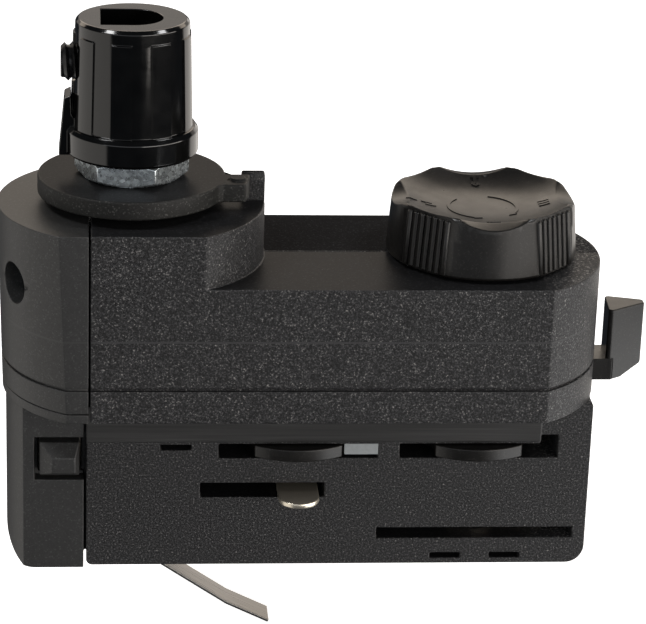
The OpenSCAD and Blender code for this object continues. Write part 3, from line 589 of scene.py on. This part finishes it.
def terminal_polyamide():
    """Undyed polyamide of the terminals: milky, slightly waxy."""
    colours = bpy.context.scene.adapter_colours
    material, tree, shader, place = new_material("terminal_polyamide", roughness=0.45, ior=1.53)
    clouded(tree, shader, (place, "Object"), size_mm=1.5, detail=2.0,
            stops=shade_stops(colours.terminal, (0.3, 0.9), (0.7, 1.0)))
    return material


FINISHES = {
    "grain_plastic": grained_polycarbonate,
    "smooth_plastic": matt_polycarbonate,
    "disc_plastic": fine_polycarbonate,
    "gloss_plastic": gloss_polyamide,
    "knob_plastic": satin_polyamide,
    "black_steel": black_oxide,
    "zinc_steel": zinc_plate,
    "spring_steel": spring_strip,
    "pale_steel": pale_sheet,
    "tinned_brass": tinned_brass,
    "terminal_plastic": terminal_polyamide,
}


def finish(make):
    """The material that a finish function makes, made once."""
    return bpy.data.materials.get(make.__name__) or make()


def dress(piece, slot, *more):
    """Gives a piece the finish of a material slot, and any more materials after it."""
    piece.data.materials.clear()
    for make in (FINISHES[slot], *more):
        piece.data.materials.append(finish(make))


def stand_for(piece, node):
    """Lets a piece take a solid's place and body."""
    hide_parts(node)
    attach(piece, BODY_OF[node])


# Edges that turn by more than this are rounded, and the facets of round faces are not
SHARP_ANGLE = math.radians(28)
# Triangles that turn by less than this are joined into one face
FLAT_ANGLE = math.radians(0.5)
# A level face's normal and an upright edge rise by more than this share of their length
RISE = 0.95
# Places of the deck's and the rib's finishes in a piece's list of materials
DECK_MATERIAL = 1
RIB_MATERIAL = 2


def between(low, high):
    """A test for edges that lie between two heights."""
    return lambda start, end: low < min(start.z, end.z) and max(start.z, end.z) < high


def upright(start, end):
    """A test for edges that stand upright."""
    return abs(end.z - start.z) > RISE * (end - start).length


# The thin lip between the lever's slot and the groove is too narrow to round
SLOT_LIP = between(5.25 * MM, 5.4 * MM)
# The top of the lever's arm meets the finger tab at a slant that leaves no room to round
ARM_TOP = between(4.95 * MM, 5.05 * MM)


def leave_crisp(piece, test):
    """Marks the chosen edges that pass a test as sharp, and takes them out of the choice."""
    mesh = bmesh.from_edit_mesh(piece.data)
    for edge in mesh.edges:
        if edge.select and test(*(vertex.co for vertex in edge.verts)):
            edge.smooth = False
            edge.select_set(False)
    bmesh.update_edit_mesh(piece.data)


def rounded(node, radius, *more, chamfer=False, crisp=None):
    """A copy of a solid whose sharp edges are rounded, in the solid's place.

    A chamfer is one flat face at each edge, shaded with the solid's own normals. Edges that pass the test
    crisp stay sharp.
    """
    piece = bpy.data.objects.new(node + "_rounded", NODES[node].data.copy())
    bpy.context.collection.objects.link(piece)
    choose(piece)
    bpy.ops.mesh.customdata_custom_splitnormals_clear()
    edit(piece)
    bpy.ops.mesh.remove_doubles(threshold=MERGE)
    bpy.ops.mesh.mark_sharp(clear=True)
    bpy.ops.mesh.dissolve_limited(angle_limit=FLAT_ANGLE)
    bpy.ops.mesh.select_mode(type="EDGE")
    bpy.ops.mesh.select_all(action="DESELECT")
    bpy.ops.mesh.edges_select_sharp(sharpness=SHARP_ANGLE)
    if crisp:
        leave_crisp(piece, crisp)
    bpy.ops.mesh.bevel(offset=radius, segments=1 if chamfer else 2, profile=0.5, clamp_overlap=False)
    close_edit()
    if chamfer:
        shade_as(piece, NODES[node])
    else:
        smooth(piece)
    dress(piece, SLOT_OF[node], *more)
    stand_for(piece, node)
    return piece


def mark_upward(piece):
    """Gives a piece's level upper faces the deck's finish."""
    for face in piece.data.polygons:
        if face.normal.z > RISE:
            face.material_index = DECK_MATERIAL


class ADAPTER_OT_shells(bpy.types.Operator):
    """Round the housing halves, with smooth decks and a planed face on the guide rib"""

    bl_idname = "adapter.shells"
    bl_label = "Housing halves"

    # The rib's faces lie further out than this, between these heights, and look outward by more than this
    rib_face = 10.45 * MM
    rib_top = -0.05 * MM
    rib_bottom = -6.3 * MM
    outward = 0.5

    def execute(self, context):
        radius = context.scene.adapter_edges.shell
        # The back half's upward faces take a shaded copy of the deck's finish, as painted shade
        for node, deck in (("housing_front", polished_polycarbonate), ("housing_back", shaded_polycarbonate)):
            piece = rounded(node, radius, deck, brushed_polycarbonate, crisp=SLOT_LIP)
            mark_upward(piece)
            for face in piece.data.polygons:
                on_rib = abs(face.center.y) > self.rib_face and self.rib_bottom < face.center.z < self.rib_top
                if on_rib and abs(face.normal.y) > self.outward:
                    face.material_index = RIB_MATERIAL
        return {"FINISHED"}


class ADAPTER_OT_end_pieces(bpy.types.Operator):
    """Round the end cover, the end block and the latch wedges"""

    bl_idname = "adapter.end_pieces"
    bl_label = "End pieces"

    def execute(self, context):
        edges = context.scene.adapter_edges
        for node in ("end_cover", "end_block"):
            rounded(node, edges.cover)
        for node in ("latch_wedge_front", "latch_wedge_back"):
            rounded(node, edges.wedge)
        return {"FINISHED"}


class ADAPTER_OT_swivel(bpy.types.Operator):
    """Round the swivel disc and its nut"""

    bl_idname = "adapter.swivel"
    bl_label = "Swivel"

    def execute(self, context):
        edges = context.scene.adapter_edges
        mark_upward(rounded("swivel_disc", edges.disc, polished_polycarbonate))
        rounded("swivel_nut", edges.nut)
        return {"FINISHED"}


class ADAPTER_OT_cord_grip(bpy.types.Operator):
    """Chamfer the cord grip and its panels"""

    bl_idname = "adapter.cord_grip"
    bl_label = "Cord grip"

    def execute(self, context):
        rounded("cord_grip", context.scene.adapter_edges.grip, chamfer=True)
        return {"FINISHED"}


class ADAPTER_OT_clamp_screw(bpy.types.Operator):
    """Model the clamp screw with its hexagon socket and its thread"""

    bl_idname = "adapter.clamp_screw"
    bl_label = "Clamp screw"

    sides = 48
    along_x = (0, math.pi / 2, 0)
    socket_depth = 2.0 * MM
    chamfer = 0.2 * MM
    lead_in = 0.05 * MM
    # Half the ridge's width at its root as a share of the pitch, and how far the root is sunk into the core
    ridge_half = 0.42
    ridge_sunk = 0.05 * MM

    def core(self, low, high, radius):
        """The screw's core with a chamfered outer end."""
        core = added(bpy.ops.mesh.primitive_cylinder_add, vertices=self.sides, radius=radius,
                     depth=high.x - low.x, location=(low + high) / 2, rotation=self.along_x)
        settle(core)
        edit(core)
        bpy.ops.mesh.select_all(action="DESELECT")
        close_edit()
        for edge in core.data.edges:
            edge.select = all(core.data.vertices[i].co.x < low.x + MERGE for i in edge.vertices)
        bpy.ops.object.mode_set(mode="EDIT")
        bpy.ops.mesh.bevel(offset=self.chamfer, segments=1)
        close_edit()
        return core

    def cut_socket(self, core, low, centre, flats):
        """Cuts the hexagon socket into the outer end."""
        key = added(bpy.ops.mesh.primitive_cylinder_add, vertices=6, depth=2 * self.socket_depth,
                    radius=flats / 2 / math.cos(math.pi / 6), location=(low.x, centre.y, centre.z),
                    rotation=self.along_x)
        settle(key)
        apply_modifier(core, "BOOLEAN", operation="DIFFERENCE", object=key, solver="EXACT")
        bpy.data.objects.remove(key)

    def thread(self, low, high, centre, radius, sizes):
        """A helical ridge along the core."""
        turns = int((high.x - low.x - 2 * self.lead_in) / sizes.pitch)
        half = self.ridge_half * sizes.pitch
        root = radius - sizes.depth - self.ridge_sunk
        profile = [(0.0, root), (half, radius), (2 * half, root)]
        ridge = added(bpy.ops.mesh.primitive_circle_add, vertices=len(profile),
                      location=(low.x + self.lead_in, 0, centre.z))
        for vertex, (along, out) in zip(ridge.data.vertices, profile):
            vertex.co = (along, 0.0, out)
        apply_modifier(ridge, "SCREW", axis="X", angle=2 * math.pi, screw_offset=sizes.pitch,
                       iterations=turns, steps=self.sides, render_steps=self.sides)
        settle(ridge)
        edit(ridge)
        bpy.ops.mesh.fill_holes(sides=0)
        bpy.ops.mesh.select_all(action="SELECT")
        bpy.ops.mesh.normals_make_consistent(inside=False)
        close_edit()
        return ridge

    def execute(self, context):
        sizes = context.scene.adapter_thread
        low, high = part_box("clamp_screw")
        centre = (low + high) / 2
        radius = (high.z - low.z) / 2
        core = self.core(low, high, radius - sizes.depth)
        self.cut_socket(core, low, centre, sizes.socket)
        ridge = self.thread(low, high, centre, radius, sizes)
        choose(core, ridge)
        bpy.ops.object.join()
        core.name = "clamp_screw_threaded"
        choose(core)
        bpy.ops.object.shade_smooth_by_angle(angle=SHARP_ANGLE)
        dress(core, SLOT_OF["clamp_screw"])
        stand_for(core, "clamp_screw")
        return {"FINISHED"}


class ADAPTER_OT_selector_knob(bpy.types.Operator):
    """Round the selector knob, except for the upright edges of its ribs"""

    bl_idname = "adapter.selector_knob"
    bl_label = "Selector knob"

    def execute(self, context):
        rounded("selector_knob", context.scene.adapter_edges.knob, crisp=upright)
        return {"FINISHED"}


class ADAPTER_OT_dial_marks(bpy.types.Operator):
    """Raise the circuit bars, the pointer and the turning arrows in the knob's dish"""

    bl_idname = "adapter.dial_marks"
    bl_label = "Dial marks"

    # Bars that count the circuits, all along X: shifts of their middles from the knob's axis in millimetres
    bars = ((0.2, -9.4), (0.4, -11.2), (9.6, 0.95), (9.6, 0.0), (9.6, -0.95), (-11.3, 0.2), (-8.9, 0.5),
            (-8.3, -0.5))
    bar_cuts = 5
    # The pointer's root and tip in millimetres behind the axis, and the ring at its root in stroke widths
    pointer = (9.3, 11.2)
    pointer_ring = 0.8
    # Turning arrows: angle of the tail and sweep to the head in degrees
    arrows = ((135, 119), (74, -114))
    arrow_steps = 24
    head_size = 0.8 * MM
    # The marks start this far above the knob, and end up sunk this far into its dish
    clearance = 5 * MM
    sunk = 0.05 * MM

    def flat_bar(self, centre, size):
        """A flat bar above the dish."""
        bar = added(bpy.ops.mesh.primitive_plane_add, size=1, location=centre)
        bar.scale = (*size, 1)
        settle(bar)
        edit(bar)
        bpy.ops.mesh.subdivide(number_cuts=self.bar_cuts)
        close_edit()
        return bar

    def flat_triangle(self, centre, radius, turn):
        """A flat arrow head above the dish that points along its turn."""
        head = added(bpy.ops.mesh.primitive_circle_add, vertices=3, radius=radius, fill_type="TRIFAN",
                     location=centre, rotation=(0, 0, turn - math.pi / 2))
        settle(head)
        return head

    def flat_arc(self, centre, radius, width, start, sweep):
        """A flat arc above the dish, spun about its centre."""
        arc = added(bpy.ops.mesh.primitive_plane_add, size=width, location=centre)
        settle(arc)
        edit(arc)
        bpy.ops.mesh.delete(type="ONLY_FACE")
        bpy.ops.mesh.select_all(action="DESELECT")
        close_edit()
        for vertex in arc.data.vertices:
            vertex.select = vertex.co.y < centre.y
        bpy.ops.object.mode_set(mode="EDIT")
        bpy.ops.mesh.delete(type="VERT")
        close_edit()
        way = Vector((math.cos(start), math.sin(start), 0))
        for vertex, reach in zip(arc.data.vertices, (radius - width / 2, radius + width / 2)):
            vertex.co = centre + reach * way
        edit(arc)
        bpy.ops.mesh.spin(steps=self.arrow_steps, angle=sweep, center=centre, axis=(0, 0, -1))
        bpy.ops.mesh.select_all(action="SELECT")
        bpy.ops.mesh.remove_doubles(threshold=MERGE)
        bpy.ops.mesh.normals_make_consistent(inside=False)
        close_edit()
        return arc

    def execute(self, context):
        sizes = context.scene.adapter_marks
        knob = bpy.data.objects["selector_knob_rounded"]
        low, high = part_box("selector_knob")
        axis = (low + high) / 2
        axis.z = high.z + self.clearance
        marks = []
        for x, y in self.bars:
            marks.append(self.flat_bar(axis + Vector((x, y, 0)) * MM, (sizes.length, sizes.width)))
        near, tip = (axis + Vector((0, y, 0)) * MM for y in self.pointer)
        marks.append(self.flat_bar((near + tip) / 2, (sizes.width, (tip - near).y)))
        marks.append(self.flat_arc(near, self.pointer_ring * sizes.width, sizes.width, 0.0, 2 * math.pi))
        marks.append(self.flat_triangle(tip, self.head_size, math.pi / 2))
        for tail, turn in self.arrows:
            first, sweep = math.radians(tail), math.radians(turn)
            last = first + sweep
            marks.append(self.flat_arc(axis, sizes.ring, sizes.width, first, sweep))
            end = axis + sizes.ring * Vector((math.cos(last), math.sin(last), 0))
            marks.append(self.flat_triangle(end, self.head_size, last + math.copysign(math.pi / 2, sweep)))
        choose(*marks)
        bpy.ops.object.join()
        piece = bpy.context.active_object
        piece.name = "dial_marks"
        edit(piece)
        bpy.ops.mesh.subdivide(number_cuts=1)
        close_edit()
        apply_modifier(piece, "SHRINKWRAP", wrap_method="PROJECT", use_project_z=True,
                       use_negative_direction=True, use_positive_direction=False, target=knob,
                       offset=-self.sunk)
        apply_modifier(piece, "SOLIDIFY", thickness=sizes.height + self.sunk, offset=1.0)
        choose(piece)
        bpy.ops.object.shade_smooth_by_angle(angle=SHARP_ANGLE)
        dress(piece, SLOT_OF["selector_knob"])
        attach(piece, BODY_OF["selector_knob"])
        return {"FINISHED"}


class ADAPTER_OT_lever(bpy.types.Operator):
    """Round the locking lever and the lock cams"""

    bl_idname = "adapter.lever"
    bl_label = "Locking lever"

    def execute(self, context):
        edges = context.scene.adapter_edges
        rounded("locking_lever", edges.lever, crisp=ARM_TOP)
        for node in ("lever_lock_cam", "neutral_lock_cam"):
            rounded(node, edges.lever)
        return {"FINISHED"}


class ADAPTER_OT_contacts(bpy.types.Operator):
    """Round the stamped contacts and the earth spring"""

    bl_idname = "adapter.contacts"
    bl_label = "Contacts"

    def execute(self, context):
        edges = context.scene.adapter_edges
        for node in ("neutral_contact", "phase_contact_mid", "phase_contact_low", "earth_spring"):
            rounded(node, edges.strip)
        return {"FINISHED"}


class ADAPTER_OT_inner_parts(bpy.types.Operator):
    """Finish the solids whose shape is already right"""

    bl_idname = "adapter.inner_parts"
    bl_label = "Inner parts"

    nodes = ("cover_screw", "terminal_block", "terminal_screws", "wear_plate", "latch_spring",
             "swivel_nipple", "nipple_locknut", "spring_washer", "selector_shaft", "neutral_rotor")

    def execute(self, context):
        for node in self.nodes:
            dress(NODES[node], SLOT_OF[node])
        return {"FINISHED"}


class ADAPTER_OT_stage(bpy.types.Operator):
    """Set up the white studio: floor, world, soft lights and the camera at the photograph's view"""

    bl_idname = "adapter.stage"
    bl_label = "Studio stage"

    floor_size = 6.0
    floor_drop = 0.5 * MM
    floor_colour = (0.9, 0.9, 0.9)
    floor_glow = 0.82
    # Soft boxes and a low card: name, place, size and radiance, all aimed at the camera's target
    lights = (
        ("left_box", (-0.36, -0.11, 0.65), (0.2, 0.2), 18.0),
        ("right_box", (0.42, -0.05, 0.61), (0.24, 0.15), 14.0),
        ("low_right_card", (0.2, -0.06, -0.085), (0.24, 0.09), 2.8),
    )
    # Cards of the surround, which only light and reflections meet: azimuth of the middle and half width in
    # degrees, lowest and highest sine of the elevation, colour and radiance
    cards = (
        (-91, 50, -0.12, 0.5, "f8fbff", 0.85),
        (-35, 38, -0.17, 0.3, "fff8f0", 4.6),
        (180, 45, -0.75, 0.2, "f6f1ea", 1.05),
        (52, 22, -0.75, 0.15, "fff8f0", 1.4),
        (89, 50, 0.155, 0.34, "fff4e8", 0.55),
        (89, 50, 0.34, 0.6, "fff0de", 2.4),
    )
    card_blur = 0.03
    # The surround between the cards
    dim_colour = "a8b4c4"
    dim_radiance = 0.08

    def add_floor(self):
        """A pale floor that only the camera sees, so that the lights and the surround light the object."""
        height = CAD_BOX[0][2] - self.floor_drop
        floor = added(bpy.ops.mesh.primitive_plane_add, size=self.floor_size, location=(0, 0, height))
        floor.name = "studio_floor"
        settle(floor)
        material, *_ = new_material("white_floor", base_color=rgba(self.floor_colour), roughness=0.9,
                                    specular_ior_level=0.0, emission_color=WHITE,
                                    emission_strength=self.floor_glow)
        floor.data.materials.append(material)
        floor.visible_glossy = False
        floor.visible_diffuse = False
        floor.visible_shadow = False

    def add_card(self, tree, level, height, azimuth, half, low, high, colour, radiance):
        """A glowing card of the surround, as a background that is black outside of it."""
        middle = math.radians(azimuth)
        blur = self.card_blur
        beside = add_node(tree, "ShaderNodeVectorMath",
                          {"operation": "DOT_PRODUCT", 1: (math.cos(middle), math.sin(middle), 0)},
                          {0: (level, "Vector")})
        edge = math.cos(math.radians(half))
        ramps = ((beside, "Value", edge - blur, edge + blur), (height, "Z", low - blur, low + blur),
                 (height, "Z", high + blur, high - blur))
        # The first ramp is scaled by the radiance, and each later one by those before it
        strength = None
        for source, output, start, end in ramps:
            ramp = add_node(tree, "ShaderNodeMapRange",
                            {"interpolation_type": "SMOOTHSTEP", "From Min": start, "From Max": end},
                            {"Value": (source, output)})
            links = {0: (ramp, 0)}
            if strength:
                links[1] = (strength, 0)
            strength = add_node(tree, "ShaderNodeMath", {"operation": "MULTIPLY", 1: radiance}, links)
        return add_node(tree, "ShaderNodeBackground", {"Color": rgba(linear(colour))},
                        {"Strength": (strength, 0)})

    def add_world(self, context):
        """A white surround for the camera, and a dim one with glowing cards for the object."""
        world = bpy.data.worlds.new("studio_surround")
        world.use_nodes = True
        tree = world.node_tree
        tree.nodes.clear()
        way = add_node(tree, "ShaderNodeTexCoord")
        height = add_node(tree, "ShaderNodeSeparateXYZ", links={0: (way, "Generated")})
        flat = add_node(tree, "ShaderNodeVectorMath", {"operation": "MULTIPLY", 1: (1, 1, 0)},
                        {0: (way, "Generated")})
        level = add_node(tree, "ShaderNodeVectorMath", {"operation": "NORMALIZE"}, {0: (flat, "Vector")})
        glow = add_node(tree, "ShaderNodeBackground",
                        {"Color": rgba(linear(self.dim_colour)), "Strength": self.dim_radiance})
        for card in self.cards:
            glow = add_node(tree, "ShaderNodeAddShader",
                            links={0: (glow, 0), 1: (self.add_card(tree, level, height, *card), 0)})
        white = add_node(tree, "ShaderNodeBackground", {"Color": WHITE, "Strength": 1.0})
        path = add_node(tree, "ShaderNodeLightPath")
        mixed = add_node(tree, "ShaderNodeMixShader", links={0: (path, "Is Camera Ray"), 1: (glow, 0),
                                                             2: (white, 0)})
        add_node(tree, "ShaderNodeOutputWorld", links={"Surface": (mixed, 0)})
        context.scene.world = world

    def add_lights(self, aim):
        """Area lights of set radiance that the camera doesn't see."""
        for name, place, size, radiance in self.lights:
            lamp = bpy.data.lights.new(name, "AREA")
            lamp.shape = "RECTANGLE"
            lamp.size, lamp.size_y = size
            lamp.energy = radiance * math.pi * size[0] * size[1]
            box = bpy.data.objects.new(name, lamp)
            box.location = place
            box.rotation_euler = (aim - Vector(place)).to_track_quat("-Z", "Y").to_euler()
            box.visible_camera = False
            bpy.context.collection.objects.link(box)

    def add_camera(self, context):
        """The photograph's camera."""
        stage = context.scene.adapter_stage
        azimuth, elevation, roll = stage.azimuth, stage.elevation, stage.roll
        back = Vector((math.sin(azimuth) * math.cos(elevation), -math.cos(azimuth) * math.cos(elevation),
                       math.sin(elevation)))
        level = Vector((math.cos(azimuth), math.sin(azimuth), 0))
        above = back.cross(level)
        right = math.cos(roll) * level + math.sin(roll) * above
        up = math.cos(roll) * above - math.sin(roll) * level
        lens = bpy.data.cameras.new("photo_camera")
        lens.sensor_width = SENSOR_MM
        lens.lens = SENSOR_MM * stage.focal_px / PHOTO_WIDTH
        camera = bpy.data.objects.new("photo_camera", lens)
        turn = Matrix((right, up, back)).transposed().to_4x4()
        camera.matrix_world = Matrix.Translation(Vector(stage.target) + back * stage.distance) @ turn
        bpy.context.collection.objects.link(camera)
        context.scene.camera = camera

    def execute(self, context):
        context.scene.view_settings.view_transform = "Standard"
        self.add_floor()
        self.add_world(context)
        self.add_lights(Vector(context.scene.adapter_stage.target))
        self.add_camera(context)
        return {"FINISHED"}


OPERATORS = (ADAPTER_OT_shells, ADAPTER_OT_end_pieces, ADAPTER_OT_swivel, ADAPTER_OT_cord_grip,
             ADAPTER_OT_clamp_screw, ADAPTER_OT_selector_knob, ADAPTER_OT_dial_marks, ADAPTER_OT_lever,
             ADAPTER_OT_contacts, ADAPTER_OT_inner_parts, ADAPTER_OT_stage)


class ADAPTER_PT_panel(bpy.types.Panel):
    """Sidebar panel with the adapter's sizes, colours and steps"""

    bl_idname = "ADAPTER_PT_panel"
    bl_label = "Track light adapter"
    bl_space_type = "VIEW_3D"
    bl_region_type = "UI"
    bl_category = "Adapter"

    def draw(self, context):
        for operator in OPERATORS:
            self.layout.operator(operator.bl_idname)
        for name in SETTINGS:
            group = getattr(context.scene, name)
            box = self.layout.box()
            for key in group.__annotations__:
                box.prop(group, key)


SETTINGS = {
    "adapter_edges": AdapterEdges,
    "adapter_thread": AdapterThread,
    "adapter_marks": AdapterMarks,
    "adapter_colours": AdapterColours,
    "adapter_stage": AdapterStage,
}
CLASSES = (*SETTINGS.values(), *OPERATORS, ADAPTER_PT_panel)


def register():
    for cls in CLASSES:
        bpy.utils.register_class(cls)
    for name, group in SETTINGS.items():
        setattr(bpy.types.Scene, name, bpy.props.PointerProperty(type=group))


def unregister():
    for name in SETTINGS:
        delattr(bpy.types.Scene, name)
    for cls in reversed(CLASSES):
        bpy.utils.unregister_class(cls)


def main():
    register()
    bpy.ops.adapter.shells()
    bpy.ops.adapter.end_pieces()
    bpy.ops.adapter.swivel()
    bpy.ops.adapter.cord_grip()
    bpy.ops.adapter.clamp_screw()
    bpy.ops.adapter.selector_knob()
    bpy.ops.adapter.dial_marks()
    bpy.ops.adapter.lever()
    bpy.ops.adapter.contacts()
    bpy.ops.adapter.inner_parts()
    bpy.ops.adapter.stage()


if __name__ == "__main__":
    main()
